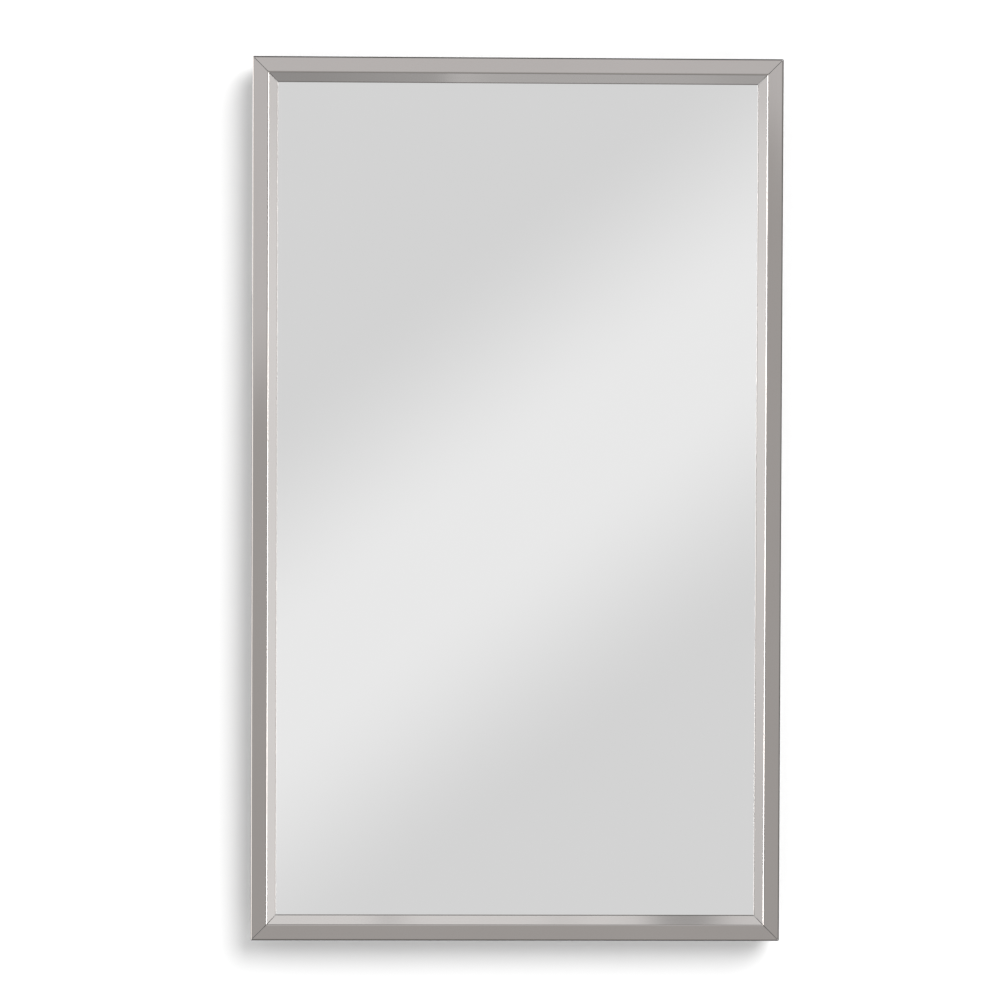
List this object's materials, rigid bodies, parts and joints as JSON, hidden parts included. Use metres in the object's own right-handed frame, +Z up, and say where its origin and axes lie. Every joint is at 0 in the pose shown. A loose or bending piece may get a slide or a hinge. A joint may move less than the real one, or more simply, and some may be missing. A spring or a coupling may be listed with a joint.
{
  "type": "recessed medicine cabinet with mirror door",
  "caption": "Recessed steel medicine cabinet with glass shelves behind a side-hinged mirror door in a mitred polished frame.",
  "frame": {"origin": "centre of the back panel's rear face", "axes": "+Z up, the door faces -Y, +X to the right of someone who stands in front of it; the hinge is on the -X side"},
  "size_m": [0.4572, 0.1221, 0.762],
  "materials": {
    "polished_steel": "polished stainless steel, faintly brushed along each rail",
    "mirror_silver": "plain silvered glass",
    "white_enamel": "baked white enamel, semi-gloss",
    "clear_glass": "clear float glass with ground edges",
    "zinc_plate": "bright zinc plate",
    "nickel_plate": "nickel plate",
    "cast_zinc": "raw die casting",
    "backing_foam": "closed-cell foam sheet",
    "white_plastic": "moulded, lightly textured",
    "ferrite": "sintered ferrite",
    "clear_rubber": "soft translucent rubber"
  },
  "bodies": {
    "box": {"back_panel": "white_enamel", "bottom_panel": "white_enamel", "catch_housing": "white_plastic", "catch_magnet": "ferrite", "catch_screw_lower": "nickel_plate", "catch_screw_upper": "nickel_plate", "door_bumper_lower": "clear_rubber", "door_bumper_upper": "clear_rubber", "glass_shelf_lower": "clear_glass", "glass_shelf_middle": "clear_glass", "glass_shelf_upper": "clear_glass", "hinge_body_leaf": "zinc_plate", "hinge_pin": "zinc_plate", "hinge_rivet_1": "zinc_plate", "hinge_rivet_2": "zinc_plate", "hinge_rivet_3": "zinc_plate", "hinge_rivet_4": "zinc_plate", "left_side_panel": "white_enamel", "right_side_panel": "white_enamel", "shelf_clip_lower_left_back": "nickel_plate", "shelf_clip_lower_left_front": "nickel_plate", "shelf_clip_lower_right_back": "nickel_plate", "shelf_clip_lower_right_front": "nickel_plate", "shelf_clip_middle_left_back": "nickel_plate", "shelf_clip_middle_left_front": "nickel_plate", "shelf_clip_middle_right_back": "nickel_plate", "shelf_clip_middle_right_front": "nickel_plate", "shelf_clip_upper_left_back": "nickel_plate", "shelf_clip_upper_left_front": "nickel_plate", "shelf_clip_upper_right_back": "nickel_plate", "shelf_clip_upper_right_front": "nickel_plate", "top_panel": "white_enamel"},
    "door": {"corner_key_bottom_left": "cast_zinc", "corner_key_bottom_right": "cast_zinc", "corner_key_top_left": "cast_zinc", "corner_key_top_right": "cast_zinc", "corner_screw_bottom_left_rail": "nickel_plate", "corner_screw_bottom_left_stile": "nickel_plate", "corner_screw_bottom_right_rail": "nickel_plate", "corner_screw_bottom_right_stile": "nickel_plate", "corner_screw_top_left_rail": "nickel_plate", "corner_screw_top_left_stile": "nickel_plate", "corner_screw_top_right_rail": "nickel_plate", "corner_screw_top_right_stile": "nickel_plate", "door_back_panel": "white_enamel", "frame_bottom_rail": "polished_steel", "frame_left_stile": "polished_steel", "frame_right_stile": "polished_steel", "frame_top_rail": "polished_steel", "hinge_backing_strip": "zinc_plate", "hinge_door_leaf": "zinc_plate", "hinge_screw_1": "nickel_plate", "hinge_screw_2": "nickel_plate", "hinge_screw_3": "nickel_plate", "hinge_screw_4": "nickel_plate", "mirror_backing_pad": "backing_foam", "mirror_glass": "mirror_silver", "strike_plate": "zinc_plate", "strike_screw": "nickel_plate"}
  },
  "joints": [
    {"name": "door_hinge", "type": "hinge", "parent": "box", "child": "door", "pos_m": [-0.2255, -0.0999, 0], "axis": [0, 0, -1], "range_deg": [0, 105]}
  ]
}
